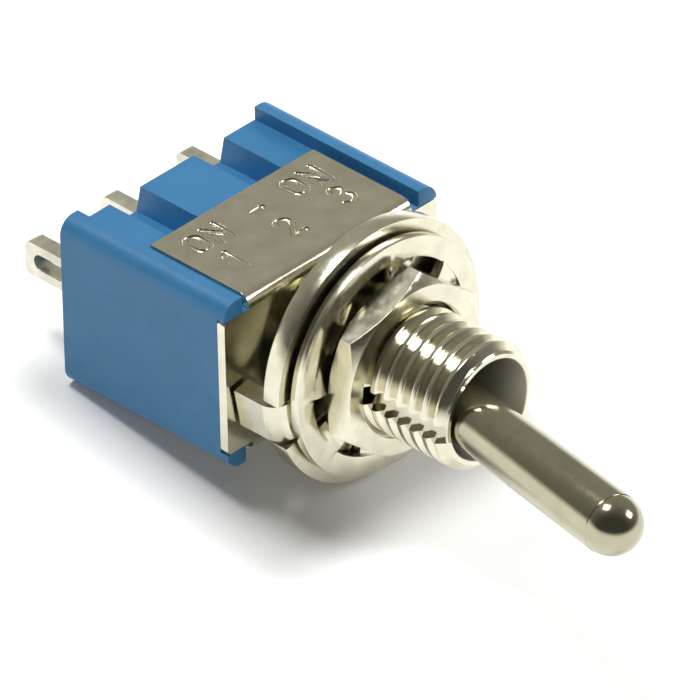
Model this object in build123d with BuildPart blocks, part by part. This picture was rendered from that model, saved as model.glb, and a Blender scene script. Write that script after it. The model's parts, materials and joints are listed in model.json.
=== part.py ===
"""Miniature toggle switch, single pole double throw, for a round panel hole.

Millimetres. The bushing's axis is the Y axis and the lever points along -Y, so Plane.XZ, whose
normal is -Y, faces the user and a positive offset from it moves towards the lever's tip. X runs
across the case, along the lever's throw and the row of terminals, and Z runs through the case.
The origin is where the bushing's axis meets the front face of the metal frame.
"""
import os
from math import acos, asin, atan2, cos, degrees, hypot, radians, sin, tan

from build123d import *

# ---------------------------------------------------------------- driving dimensions
# Case, a moulded box that is open towards the bushing
case_width = 13.2
case_height = 8.6
case_depth = 9.5
case_edge_radius = 0.8
groove_spacing = 5.2
groove_width = 2.0
groove_depth = 1.15
groove_length = 4.9
groove_draft = 14.0
front_cavity_height = 4.8
front_cavity_depth = 3.2
rear_cavity_height = 3.1
floor_thickness = 2.3
seal_margin = 0.7
seal_height = 3.2
seal_depth = 0.55
seal_recess = 0.05

# Frame, one strip of sheet folded round the case
sheet = 0.45
leg_width = 10.1
leg_length = 5.97
leg_drop = 0.22
leg_side_gap = 0.43
ear_height = 6.9
ear_corner_radius = 0.25
bend_inner_radius = 0.15

# Threaded bushing
thread_diameter = 6.0
bushing_length = 9.35
mouth_chamfer = 0.4
thread_pitch = 0.75
thread_depth = 0.38
thread_flank_angle = 30.0
mouth_wall = 0.66
spigot_radius = 2.6
swage_lip = 0.2
swage_thickness = 0.4
keyway_width = 0.9
keyway_depth = 0.42
keyway_start = 0.6

# Lever, turned in one piece with its ball
pivot_height = 4.0
ball_radius = 2.0
throat_rise = 1.22
shank_radius = 1.32
grip_radius = 1.42
grip_length = 5.6
shank_length = 15.25
dome_height = 1.42
tail_radius = 1.05
tail_length = 6.6
tail_bore_depth = 4.0
pin_radius = 0.4
pin_bite = 0.25

# Plunger and its spring, which sit in the tail of the lever
plunger_radius = 0.68
plunger_in_tail = 1.9
spring_wire_radius = 0.1
spring_wire_sides = 4
spring_mean_radius = 0.5
spring_turns = 3.5

# Contact blade, which rocks in a saddle on the middle terminal
blade_rise = 0.75
blade_tilt = 7.0
blade_thickness = 0.3
blade_width = 2.0
blade_overhang = 0.3
blade_knee = 3.3
blade_knee_rise = 0.25
valley_margin = 1.6
lobe_radius = 0.45
moving_pad_radius = 0.55
moving_pad_height = 0.2
fixed_pad_radius = 0.62
fixed_pad_height = 0.3
pad_margin = 0.2
saddle_length = 2.2
saddle_sheet = 0.3
saddle_base = 0.4

# Terminals
terminal_pitch = 4.7
terminal_thickness = 0.8
terminal_width = 1.7
lug_length = 3.8
lug_corner_radius = 0.35
eyelet_width = 0.8
eyelet_length = 1.9
eyelet_to_tip = 0.55
head_thickness = 0.6
head_reach = 1.65
tenon_width = 1.2
rivet_head = 0.15

# Insulating washer between the bushing and the case
insulator_overlap = 0.45
insulator_thickness = 0.35

# Mounting hardware on the thread
nut_across_flats = 8.0
nut_thickness = 1.3
nut_turn = 20.0
nut_chamfer_angle = 30.0
nut_countersink = 0.2
rear_nut_turn = 3.0
rear_nut_back = 0.55
ring_radius = 6.2
ring_thickness = 0.9
tab_width = 2.0
tab_turn = 10.0
tab_bend_radius = 0.1
tab_relief = 0.2
washer_radius = 5.65
washer_thickness = 0.45
washer_rim = 0.95
washer_teeth = 8
tooth_width = 1.5
tooth_twist = 22.0
tooth_lift = 0.2
washer_turn = 33.0

# Clearances
running_clearance = 0.05
seat_clearance = 0.02
contact_gap = 0.04
plunger_gap = 0.06
neck_clearance = 0.18
insulator_clearance = 0.2
blade_end_clearance = 0.2
key_clearance = 0.1
tab_gap = 0.15

# ---------------------------------------------------------------- derived sizes and frames
half_height = case_height / 2
leg_face = half_height - leg_drop
channel_floor = leg_face - sheet
case_back = sheet + case_depth
cavity_floor = case_back - floor_thickness

# Bushing and lever. The throw ends where the shank nears the bushing's mouth.
thread_radius = thread_diameter / 2
swage_radius = spigot_radius + swage_lip
swage_back = sheet + swage_thickness
seat_radius = ball_radius + running_clearance
throat_radius = (seat_radius**2 - throat_rise**2) ** 0.5
mouth_radius = thread_radius - mouth_wall
mouth_rise = bushing_length - pivot_height
mouth_reach = hypot(mouth_radius, mouth_rise)
throw = acos((shank_radius + running_clearance) / mouth_reach) - atan2(mouth_rise, mouth_radius)
neck_radius = (throat_radius - throat_rise * tan(throw)) * cos(throw) - neck_clearance
ball_neck = (ball_radius**2 - neck_radius**2) ** 0.5
ball_tail = (ball_radius**2 - tail_radius**2) ** 0.5
shank_at_mouth = mouth_rise * cos(throw) + mouth_radius * sin(throw)
grip_start = shank_length - grip_length
lever_tip = shank_length + dome_height
dome_radius = (grip_radius**2 + dome_height**2) / (2 * dome_height)
dome_half_angle = asin(grip_radius / dome_radius) / 2
pin_length = 2 * (seat_radius + pin_bite)
tail_bore_radius = plunger_radius + running_clearance

lever_aim = Vector(-sin(throw), -cos(throw), 0)
pivot_point = Vector(0, -pivot_height, 0)
lever_side = Plane(pivot_point, x_dir=lever_aim, z_dir=(0, 0, 1))
lever_axis = Axis(pivot_point, lever_aim)
side_plane = Plane((0, 0, 0), x_dir=(0, -1, 0), z_dir=(0, 0, 1))
bushing_axis = Axis((0, 0, 0), (0, -1, 0))

# Blade and contacts, set out from the cavity's floor and from the outer terminals
tilt = radians(blade_tilt)
blade_half_length = terminal_pitch + blade_overhang
pad_offset = blade_half_length - moving_pad_radius - pad_margin
head_front = cavity_floor - head_thickness
pad_front = head_front - fixed_pad_height
blade_rest_back = pad_front - contact_gap - moving_pad_height
blade_pivot_depth = (
    blade_rest_back - blade_thickness / 2 - blade_knee * sin(tilt) + blade_knee_rise * cos(tilt)
)
blade_side = Plane((0, blade_pivot_depth, 0), x_dir=(cos(tilt), sin(tilt), 0), z_dir=(0, 0, 1))
tip_reach = pivot_height + blade_pivot_depth - blade_rise - plunger_gap
tip_centre = tip_reach - plunger_radius

# Cavity, insulating washer and sealing resin
cavity_width = 2 * (blade_half_length + blade_end_clearance)
insulator_width = cavity_width + 2 * insulator_overlap
insulator_height = 2 * (swage_radius + running_clearance)
insulator_back = swage_back + running_clearance + insulator_thickness
insulator_hole_radius = (
    (pivot_height + insulator_back) * tan(throw) + tail_radius / cos(throw) + insulator_clearance
)
half_strip = terminal_thickness / 2
lug_tip = case_back + lug_length
seal_width = 2 * (terminal_pitch + half_strip + seal_margin)

# Stations of the hardware along the thread
ring_back = rear_nut_back + nut_thickness
ring_front = ring_back + ring_thickness
washer_back = ring_front + tooth_lift
front_nut_back = washer_back + washer_thickness + tooth_lift
front_nut_front = front_nut_back + nut_thickness
hole_radius = thread_radius + seat_clearance

os.makedirs("parts", exist_ok=True)


def facing(depth):
    """The plane across the bushing's axis, at a depth behind the frame's front face."""
    return Plane.XZ.offset(-depth)


def save(part, label):
    """Label a finished piece and write its STEP file."""
    part.label = label
    export_step(part, f"parts/{label}.step")


# ---------------------------------------------------------------- case
channel_width = leg_width + 2 * leg_side_gap
notch_half_width = leg_width / 2 + seat_clearance
with BuildPart() as case:
    with BuildSketch(facing(case_back)):
        RectangleRounded(case_width, case_height, case_edge_radius)
    extrude(amount=case_depth)
    # the four rims run on through the corner notches of the frame
    with BuildSketch(facing(sheet)):
        with BuildSketch(mode=Mode.PRIVATE) as outline:
            RectangleRounded(case_width, case_height, case_edge_radius)
        with BuildSketch(mode=Mode.PRIVATE) as frame_shadow:
            Rectangle(case_width, ear_height + 2 * seat_clearance)
            Rectangle(2 * notch_half_width, case_height)
        add(outline.sketch)
        add(frame_shadow.sketch, mode=Mode.SUBTRACT)
    extrude(amount=sheet - seat_clearance)
    # channels in which the legs of the frame lie, bevelled under the frame's bends
    with BuildSketch(Plane.YZ):
        with BuildLine():
            Polyline(
                (0, half_height),
                (0, channel_floor - bend_inner_radius),
                (sheet, channel_floor - bend_inner_radius),
                (sheet + bend_inner_radius, channel_floor),
                (case_back, channel_floor),
                (case_back, half_height),
                close=True,
            )
        make_face()
        mirror(about=Plane.XZ)
    extrude(amount=channel_width / 2, both=True, mode=Mode.SUBTRACT)
    # drafted grooves, two on each broad side, open at the back
    with BuildSketch(facing(case_back)):
        for side in (1, -1):
            with Locations(Location((0, side * (channel_floor - groove_depth), 0), 90 - 90 * side)):
                with GridLocations(groove_spacing, 0, 2, 1):
                    Trapezoid(
                        groove_width,
                        groove_depth + leg_drop,
                        90 + groove_draft,
                        align=(Align.CENTER, Align.MIN),
                    )
    extrude(amount=groove_length, mode=Mode.SUBTRACT)
    # seat of the insulating washer, then the roomy and the narrow part of the cavity
    with BuildSketch(facing(insulator_back)):
        Rectangle(insulator_width + 2 * running_clearance, insulator_height + 2 * running_clearance)
    extrude(amount=insulator_back, mode=Mode.SUBTRACT)
    with BuildSketch(facing(sheet)):
        Rectangle(cavity_width, front_cavity_height)
    extrude(amount=-front_cavity_depth, mode=Mode.SUBTRACT)
    with BuildSketch(facing(sheet)):
        Rectangle(cavity_width, rear_cavity_height)
    extrude(amount=sheet - cavity_floor, mode=Mode.SUBTRACT)
    # slots for the terminals, and the shallow tray for the sealing resin
    with BuildSketch(facing(case_back)):
        with GridLocations(terminal_pitch, 0, 3, 1):
            Rectangle(terminal_thickness + 2 * seat_clearance, terminal_width + 2 * seat_clearance)
    extrude(amount=floor_thickness, mode=Mode.SUBTRACT)
    with BuildSketch(facing(case_back)):
        RectangleRounded(seal_width, seal_height, seal_height / 4)
    extrude(amount=seal_depth + seal_recess, mode=Mode.SUBTRACT)
save(case.part, "case")

# ---------------------------------------------------------------- frame
with BuildPart() as frame:
    with BuildSketch(Plane.YZ):
        with BuildLine():
            fold = FilletPolyline(
                (leg_length, leg_face - sheet / 2),
                (sheet / 2, leg_face - sheet / 2),
                (sheet / 2, sheet / 2 - leg_face),
                (leg_length, sheet / 2 - leg_face),
                radius=bend_inner_radius + sheet / 2,
            )
        trace(fold, line_width=sheet)
    extrude(amount=leg_width / 2, both=True)
    with BuildSketch(facing(0)):
        RectangleRounded(case_width, ear_height, ear_corner_radius)
    extrude(amount=-sheet)
    with BuildSketch(facing(0)):
        Circle(spigot_radius)
    extrude(amount=-sheet, mode=Mode.SUBTRACT)
save(frame.part, "frame")

# ---------------------------------------------------------------- bushing
# The thread's grooves, as rings at its pitch, where it stands free in front of the nut
thread_end = bushing_length - mouth_chamfer
thread_root = thread_radius - thread_depth
groove_half_width = thread_depth * tan(radians(thread_flank_angle))
free_turns = int((thread_end - front_nut_front) / thread_pitch)
thread_profile = []
for turn in range(free_turns, 0, -1):
    groove = thread_end - (turn - 0.5) * thread_pitch
    thread_profile += [
        (groove - groove_half_width, thread_radius),
        (groove, thread_root),
        (groove + groove_half_width, thread_radius),
    ]

with BuildPart() as bushing:
    with BuildSketch(side_plane):
        with BuildLine():
            Polyline(
                (-swage_back, seat_radius),
                (-swage_back, swage_radius),
                (-sheet, swage_radius),
                (-sheet, spigot_radius),
                (0, spigot_radius),
                (0, thread_radius),
                *thread_profile,
                (thread_end, thread_radius),
                (bushing_length, thread_radius - mouth_chamfer),
                (bushing_length, mouth_radius),
                (pivot_height + throat_rise, throat_radius),
            )
            CenterArc(
                (pivot_height, 0),
                seat_radius,
                degrees(asin(throat_radius / seat_radius)),
                90 - degrees(asin(throat_radius / seat_radius)),
            )
            Line((pivot_height, seat_radius), (-swage_back, seat_radius))
        make_face()
    revolve(axis=bushing_axis)
    # keyway for the ring's key, on the side of the ring's tab
    with BuildSketch(Plane.XZ.offset(keyway_start)):
        with Locations((-thread_radius, 0)):
            Rectangle(2 * keyway_depth, keyway_width)
    extrude(amount=bushing_length, mode=Mode.SUBTRACT)
    # two blind ways, open at the back, in which the ends of the cross pin turn
    pin_way_radius = pin_radius + running_clearance
    pin_way_reach = pin_length / 2 + running_clearance
    with BuildSketch(Plane.XY):
        with Locations((0, -pivot_height)):
            Circle(pin_way_radius)
        with Locations((0, (swage_back - pivot_height) / 2)):
            Rectangle(2 * pin_way_radius, swage_back + pivot_height)
    extrude(amount=pin_way_reach, both=True, mode=Mode.SUBTRACT)
save(bushing.part, "bushing")

# ---------------------------------------------------------------- lever and its cross pin
with BuildPart() as lever:
    with BuildSketch(lever_side):
        with BuildLine():
            Polyline(
                (tail_bore_depth - tail_length, 0),
                (tail_bore_depth - tail_length, tail_bore_radius),
                (-tail_length, tail_bore_radius),
                (-tail_length, tail_radius),
                (-ball_tail, tail_radius),
            )
            ThreePointArc((-ball_tail, tail_radius), (0, ball_radius), (ball_neck, neck_radius))
            Polyline(
                (ball_neck, neck_radius),
                (shank_at_mouth, shank_radius),
                (grip_start, grip_radius),
                (shank_length, grip_radius),
            )
            ThreePointArc(
                (shank_length, grip_radius),
                (
                    lever_tip - dome_radius * (1 - cos(dome_half_angle)),
                    dome_radius * sin(dome_half_angle),
                ),
                (lever_tip, 0),
            )
            Line((lever_tip, 0), (tail_bore_depth - tail_length, 0))
        make_face()
    revolve(axis=lever_axis)
    with BuildSketch(Plane.XY):
        with Locations((0, -pivot_height)):
            Circle(pin_radius + seat_clearance)
    extrude(amount=ball_radius, both=True, mode=Mode.SUBTRACT)
save(lever.part, "lever")

with BuildPart() as lever_pin:
    with BuildSketch(Plane.XY.offset(-pin_length / 2)):
        with Locations((0, -pivot_height)):
            Circle(pin_radius)
    extrude(amount=pin_length)
    chamfer(lever_pin.edges().filter_by(GeomType.CIRCLE), pin_radius / 4)
save(lever_pin.part, "lever_pin")

# ---------------------------------------------------------------- plunger and spring
plunger_top = tail_length - plunger_in_tail
with BuildPart() as plunger:
    with BuildSketch(lever_side):
        with BuildLine():
            Polyline(
                (-tip_reach, 0),
                (-plunger_top, 0),
                (-plunger_top, plunger_radius),
                (-tip_centre, plunger_radius),
            )
            CenterArc((-tip_centre, 0), plunger_radius, 90, 90)
        make_face()
    revolve(axis=lever_axis)
save(plunger.part, "plunger")

spring_low = plunger_top - seat_clearance - spring_wire_radius
spring_high = tail_length - tail_bore_depth + seat_clearance + spring_wire_radius
spring_length = spring_low - spring_high
with BuildPart() as plunger_spring:
    with BuildLine() as coil:
        Helix(
            spring_length / spring_turns,
            spring_length,
            spring_mean_radius,
            center=pivot_point - lever_aim * spring_low,
            direction=lever_aim,
        )
    with BuildSketch(Plane(coil.line @ 0, z_dir=coil.line % 0)):
        RegularPolygon(spring_wire_radius, spring_wire_sides)
    sweep(is_frenet=True)
save(plunger_spring.part, "plunger_spring")

# ---------------------------------------------------------------- contact blade
# The plunger's tip sweeps an arc over the rocking blade, and the blade's valley follows it.
tip_across = tip_centre * sin(throw)
tip_along = tip_centre * cos(throw) - pivot_height - blade_pivot_depth
sweep_end_x = tip_across * cos(tilt) + tip_along * sin(tilt)
sweep_end_y = tip_along * cos(tilt) - tip_across * sin(tilt)
sweep_mid_y = tip_centre - pivot_height - blade_pivot_depth
sweep_sag = sweep_mid_y - sweep_end_y
sweep_radius = (sweep_end_x**2 + sweep_sag**2) / (2 * sweep_sag)
valley_centre = sweep_mid_y - sweep_radius
valley_radius = sweep_radius + plunger_radius + plunger_gap + blade_thickness / 2
valley_angle = degrees(asin(sweep_end_x / sweep_radius)) + valley_margin
valley_end = (
    valley_radius * sin(radians(valley_angle)),
    valley_centre + valley_radius * cos(radians(valley_angle)),
)
knee = (blade_knee, -blade_knee_rise)
blade_end = (blade_half_length, -blade_knee_rise - (blade_half_length - blade_knee) * tan(tilt))
lobe_inner = blade_width / 2 - saddle_sheet
with BuildPart() as contact_blade:
    with BuildSketch(blade_side):
        with BuildLine():
            Polyline((-blade_end[0], blade_end[1]), (-knee[0], knee[1]), (-valley_end[0], valley_end[1]))
            CenterArc((0, valley_centre), valley_radius, 90 + valley_angle, -2 * valley_angle)
            Polyline(valley_end, knee, blade_end)
        trace(line_width=blade_thickness)
    extrude(amount=blade_width / 2, both=True)
    # two lobes, folded down at the middle, on which the blade rocks
    for low in (lobe_inner, -blade_width / 2):
        with BuildSketch(blade_side.offset(low)):
            Circle(lobe_radius)
            with Locations((0, (blade_thickness / 2 - blade_rise) / 2)):
                Rectangle(2 * lobe_radius, blade_rise - blade_thickness / 2)
        extrude(amount=saddle_sheet)
save(contact_blade.part, "contact_blade")

for side, label in ((1, "right"), (-1, "left")):
    # the plane on the back of the flat end
    end_lean = radians(blade_tilt - side * blade_tilt)
    end_middle = blade_side.from_local_coords(
        Vector(side * pad_offset, knee[1] - (pad_offset - knee[0]) * tan(tilt), 0)
    )
    pad_seat = Plane(end_middle, z_dir=(-sin(end_lean), cos(end_lean), 0)).offset(blade_thickness / 2)
    with BuildPart() as moving_contact:
        with BuildSketch(pad_seat):
            Circle(moving_pad_radius)
        extrude(amount=moving_pad_height)
        chamfer(moving_contact.faces().sort_by(Axis.Y)[-1].edges(), moving_pad_height / 3)
    save(moving_contact.part, f"moving_contact_{label}")

# ---------------------------------------------------------------- terminals and fixed contacts
def eyelet_cutter(x):
    """The long hole in the lug that stands at x."""
    with BuildPart() as cutter:
        with BuildSketch(Plane.YZ.offset(x)):
            with Locations((lug_tip - eyelet_to_tip - eyelet_length / 2, 0)):
                SlotOverall(eyelet_length, eyelet_width)
        extrude(amount=terminal_thickness, both=True)
    return cutter.part


for side, label in ((1, "right"), (-1, "left")):
    strip_x = side * terminal_pitch
    with BuildPart() as terminal:
        with BuildSketch(Plane.XY):
            with BuildLine():
                Polyline(
                    (strip_x + side * half_strip, lug_tip),
                    (strip_x + side * half_strip, head_front),
                    (strip_x + side * (half_strip - head_reach), head_front),
                    (strip_x + side * (half_strip - head_reach), cavity_floor),
                    (strip_x - side * half_strip, cavity_floor),
                    (strip_x - side * half_strip, lug_tip),
                    close=True,
                )
            make_face()
            fillet(vertices().sort_by(Axis.Y)[:2].sort_by(Axis.X)[-1 if side > 0 else 0], half_strip)
        extrude(amount=terminal_width / 2, both=True)
        fillet(terminal.edges().filter_by(Axis.X).group_by(Axis.Y)[-1], lug_corner_radius)
        add(eyelet_cutter(strip_x), mode=Mode.SUBTRACT)
    save(terminal.part, f"terminal_{label}")
    with BuildPart() as fixed_contact:
        with BuildSketch(facing(head_front)):
            with Locations((side * pad_offset, 0)):
                Circle(fixed_pad_radius)
        extrude(amount=fixed_pad_height)
        chamfer(fixed_contact.faces().sort_by(Axis.Y)[0].edges(), fixed_pad_height / 3)
    save(fixed_contact.part, f"fixed_contact_{label}")

saddle_front = cavity_floor - saddle_base
with BuildPart() as terminal_centre:
    with BuildSketch(facing(lug_tip)):
        Rectangle(terminal_thickness, terminal_width)
    extrude(amount=lug_tip - cavity_floor)
    fillet(terminal_centre.edges().filter_by(Axis.X).group_by(Axis.Y)[-1], lug_corner_radius)
    add(eyelet_cutter(0), mode=Mode.SUBTRACT)
    with BuildSketch(facing(cavity_floor)):
        Rectangle(terminal_thickness, tenon_width)
    extrude(amount=saddle_base)
    with BuildSketch(facing(saddle_front)):
        Rectangle(terminal_thickness + 2 * rivet_head, tenon_width + rivet_head / 2)
    extrude(amount=rivet_head)
save(terminal_centre.part, "terminal_centre")

with BuildPart() as blade_saddle:
    with BuildSketch(facing(cavity_floor)):
        Rectangle(saddle_length, blade_width)
        Rectangle(
            terminal_thickness + 2 * seat_clearance,
            tenon_width + 2 * seat_clearance,
            mode=Mode.SUBTRACT,
        )
    extrude(amount=saddle_base)
    for low in (lobe_inner, -blade_width / 2):
        with BuildSketch(Plane.XY.offset(low)):
            with Locations((0, (blade_pivot_depth + saddle_front) / 2)):
                Rectangle(saddle_length, saddle_front - blade_pivot_depth)
            with Locations((0, blade_pivot_depth)):
                Circle(lobe_radius + running_clearance, mode=Mode.SUBTRACT)
        extrude(amount=saddle_sheet)
save(blade_saddle.part, "blade_saddle")

with BuildPart() as terminal_seal:
    with BuildSketch(facing(case_back - seal_recess)):
        RectangleRounded(
            seal_width - 2 * seat_clearance, seal_height - 2 * seat_clearance, seal_height / 4
        )
        with GridLocations(terminal_pitch, 0, 3, 1):
            Rectangle(
                terminal_thickness + 2 * seat_clearance,
                terminal_width + 2 * seat_clearance,
                mode=Mode.SUBTRACT,
            )
    extrude(amount=seal_depth)
save(terminal_seal.part, "terminal_seal")

with BuildPart() as insulating_washer:
    with BuildSketch(facing(insulator_back)):
        Rectangle(insulator_width, insulator_height)
        Circle(insulator_hole_radius, mode=Mode.SUBTRACT)
    extrude(amount=insulator_thickness)
save(insulating_washer.part, "insulating_washer")

# ---------------------------------------------------------------- mounting hardware
nut_corner = nut_across_flats / 2 / cos(radians(30))
bevel = (nut_corner - nut_across_flats / 2) * tan(radians(nut_chamfer_angle))
with BuildPart() as mounting_nuts:
    for back, turn in ((rear_nut_back, rear_nut_turn), (front_nut_back, nut_turn)):
        with BuildSketch(Plane.XZ.offset(back)):
            RegularPolygon(nut_corner, 6, rotation=turn)
            Circle(hole_radius, mode=Mode.SUBTRACT)
        extrude(amount=nut_thickness)
    # the corners of both nuts are turned off on both faces
    with BuildSketch(side_plane, mode=Mode.PRIVATE) as turned:
        for back in (rear_nut_back, front_nut_back):
            with BuildLine():
                Polyline(
                    (back + nut_countersink, hole_radius),
                    (back, hole_radius + nut_countersink),
                    (back, nut_across_flats / 2),
                    (back + bevel, nut_corner),
                    (back + nut_thickness - bevel, nut_corner),
                    (back + nut_thickness, nut_across_flats / 2),
                    (back + nut_thickness, hole_radius + nut_countersink),
                    (back + nut_thickness - nut_countersink, hole_radius),
                    close=True,
                )
            make_face()
    with BuildPart(mode=Mode.PRIVATE) as turned_blanks:
        add(turned.sketch)
        revolve(axis=bushing_axis)
    add(turned_blanks.part, mode=Mode.INTERSECT)
save(mounting_nuts.part, "mounting_nuts")

tab_middle = ring_radius - ring_thickness / 2
tab_angle = radians(180 + tab_turn)
tab_side = Plane((0, 0, 0), x_dir=(0, -1, 0), z_dir=(-sin(tab_angle), 0, cos(tab_angle)))
fold_room = ring_thickness + tab_bend_radius
with BuildPart() as locating_ring:
    with BuildSketch(Plane.XZ.offset(ring_back)):
        Circle(ring_radius)
        Circle(hole_radius, mode=Mode.SUBTRACT)
        # key that slides in the bushing's keyway
        with Locations((-thread_radius, 0)):
            Rectangle(2 * (keyway_depth - running_clearance), keyway_width - 2 * key_clearance)
        # the rim is cut away beside the fold of the tab
        with Locations(Location((0, 0, 0), 180 + tab_turn)):
            with Locations((ring_radius, 0)):
                Rectangle(2 * fold_room, tab_width + 2 * tab_relief, mode=Mode.SUBTRACT)
    extrude(amount=ring_thickness)
    # tab, folded back towards the frame
    with BuildSketch(tab_side):
        with BuildLine():
            tab_path = FilletPolyline(
                (ring_front - ring_thickness / 2, ring_radius - 2 * fold_room),
                (ring_front - ring_thickness / 2, tab_middle),
                (tab_gap, tab_middle),
                radius=tab_bend_radius + ring_thickness / 2,
            )
        trace(tab_path, line_width=ring_thickness)
    extrude(amount=tab_width / 2, both=True)
save(locating_ring.part, "locating_ring")

tooth_root = washer_radius - washer_rim
tooth_tip = hole_radius + running_clearance
tooth_thickness = washer_thickness - 2 * seat_clearance
with BuildPart() as lock_washer:
    with BuildSketch(Plane.XZ.offset(washer_back)):
        Circle(washer_radius)
        Circle(tooth_root, mode=Mode.SUBTRACT)
    extrude(amount=washer_thickness)
    washer_middle = Vector(0, -(washer_back + washer_thickness / 2), 0)
    for index in range(washer_teeth):
        angle = radians(washer_turn + index * 360 / washer_teeth)
        outward = Vector(cos(angle), 0, sin(angle))
        across = Vector(-sin(angle), 0, cos(angle))
        twisted = across.rotate(Axis((0, 0, 0), outward), tooth_twist)
        root_plane = Plane(
            washer_middle + outward * (tooth_root + washer_rim / 4), x_dir=across, z_dir=outward
        )
        tip_plane = Plane(washer_middle + outward * tooth_tip, x_dir=twisted, z_dir=outward)
        with BuildSketch(root_plane):
            Rectangle(tooth_width, tooth_thickness)
        with BuildSketch(tip_plane):
            Rectangle(tooth_width * tooth_tip / tooth_root, tooth_thickness)
        loft()
save(lock_washer.part, "lock_washer")
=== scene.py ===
# Finishes for a miniature toggle switch: a 3D view panel and one operator per group of pieces.
#
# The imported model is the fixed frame, in metres: the bushing's axis is the Y axis and the lever points
# along -Y, X runs along the lever's throw and the row of lugs, and Z runs through the case.
import json
from math import asin, atan2, ceil, cos, inf, pi, radians, sin, sqrt

import bmesh
import bpy
from mathutils import Matrix, Vector


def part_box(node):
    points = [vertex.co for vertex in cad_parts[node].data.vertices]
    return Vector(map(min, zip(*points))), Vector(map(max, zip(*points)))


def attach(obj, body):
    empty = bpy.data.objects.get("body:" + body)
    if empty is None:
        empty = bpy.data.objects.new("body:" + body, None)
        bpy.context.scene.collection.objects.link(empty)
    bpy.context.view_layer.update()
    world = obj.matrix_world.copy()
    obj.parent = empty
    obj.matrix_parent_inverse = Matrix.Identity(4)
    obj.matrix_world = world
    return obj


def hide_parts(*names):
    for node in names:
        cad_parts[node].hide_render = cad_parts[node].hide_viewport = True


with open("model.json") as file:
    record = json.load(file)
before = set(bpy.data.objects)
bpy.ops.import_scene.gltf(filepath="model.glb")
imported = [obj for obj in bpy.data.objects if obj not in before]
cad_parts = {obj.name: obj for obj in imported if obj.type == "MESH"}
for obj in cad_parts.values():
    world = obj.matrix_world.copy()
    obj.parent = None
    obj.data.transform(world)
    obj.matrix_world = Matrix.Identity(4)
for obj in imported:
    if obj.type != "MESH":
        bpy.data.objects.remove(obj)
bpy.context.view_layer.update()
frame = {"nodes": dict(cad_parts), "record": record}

bl_info = {
    "name": "Miniature toggle switch finishes",
    "version": (1, 0, 0),
    "blender": (4, 5, 0),
    "location": "3D View > Sidebar > Toggle Switch",
    "description": "Builds the plated, moulded and threaded pieces of a miniature toggle switch",
    "category": "Add Mesh",
}

MM = 0.001
ROOT = "switch_body"

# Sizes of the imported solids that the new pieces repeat
BALL = 2.0 * MM
PIN_HOLE = 0.42 * MM
SEAT = 2.05 * MM
THROAT_RISE = 1.22 * MM
SWAGE = 2.8 * MM
SPIGOT = 2.6 * MM
SHEET = 0.45 * MM
RING_THICKNESS = 0.9 * MM

# Distances under which points count as one: on the thread's grid, and elsewhere
MERGED = 0.0008 * MM
TINY = 0.0005 * MM

# Steps along small curves, and sides of small round pieces
BOW_STEPS = 8
SEAT_STEPS = 8
BALL_STEPS = 14
SHOULDER_STEPS = 4
DOME_STEPS = 16
EDGE_STEPS = 2
ROD_SIDES = 16
PIN_SIDES = 32

# The thread's grid: rows to a turn, columns that the keyway takes from the round, columns on its floor
ROWS_PER_TURN = 18
KEYWAY_STEPS = 8
KEYWAY_FLOOR_STEPS = 5

# Shares of half a pitch that the thread's flat root and its flank take
ROOT_SHARE = 0.12
FLANK_SHARE = 0.56

# Sections of a washer's tooth: depth inward from the band and half the width, in mm, and twist in degrees
TOOTH_SECTIONS = (
    (-0.24, 0.86, 0.0),
    (0.0, 0.86, 2.0),
    (0.22, 0.85, 9.0),
    (0.48, 0.8, 12.5),
    (0.9, 0.68, 16.0),
    (1.5, 0.5, 20.0),
)
TOOTH_THINNING = 0.9


def arc(middle, radius, start, end, steps):
    """Points on an arc in a plane, from one angle to another."""
    angles = [start + (end - start) * k / steps for k in range(steps + 1)]
    return [(middle[0] + radius * cos(angle), middle[1] + radius * sin(angle)) for angle in angles]


def bow(height, radius, start, end):
    """The bow of a stamped character, from one angle to another in degrees."""
    return arc((0, height), radius, radians(start), radians(end), BOW_STEPS)


# Strokes of the stamped characters, one unit tall about the middle of the baseline, open or closed
STROKES = {
    "O": ((bow(0.7, 0.28, 0, 180) + bow(0.3, 0.28, 180, 360), True),),
    "N": (
        ([(-0.28, 0.0), (-0.28, 1.0)], False),
        ([(-0.28, 1.0), (0.28, 0.0)], False),
        ([(0.28, 0.0), (0.28, 1.0)], False),
    ),
    "-": (([(-0.25, 0.5), (0.25, 0.5)], False),),
    "1": (([(-0.18, 0.78), (0.05, 1.0)], False), ([(0.05, 1.0), (0.05, 0.0)], False)),
    "2": (
        (bow(0.72, 0.28, 165, -40), False),
        ([(0.21, 0.54), (-0.28, 0.0)], False),
        ([(-0.28, 0.0), (0.3, 0.0)], False),
    ),
    "3": ((bow(0.76, 0.24, 150, -75), False), (bow(0.26, 0.27, 75, -150), False)),
}

# The stamped rows with the pitch of their characters, and their baselines, all in character heights
STAMPED_ROWS = (("ON - ON", 0.896), ("1 2 3", 1.24))
FIRST_BASELINE = 0.62
ROW_SPACING = 1.45
STROKE_RISE = 0.3


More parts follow.
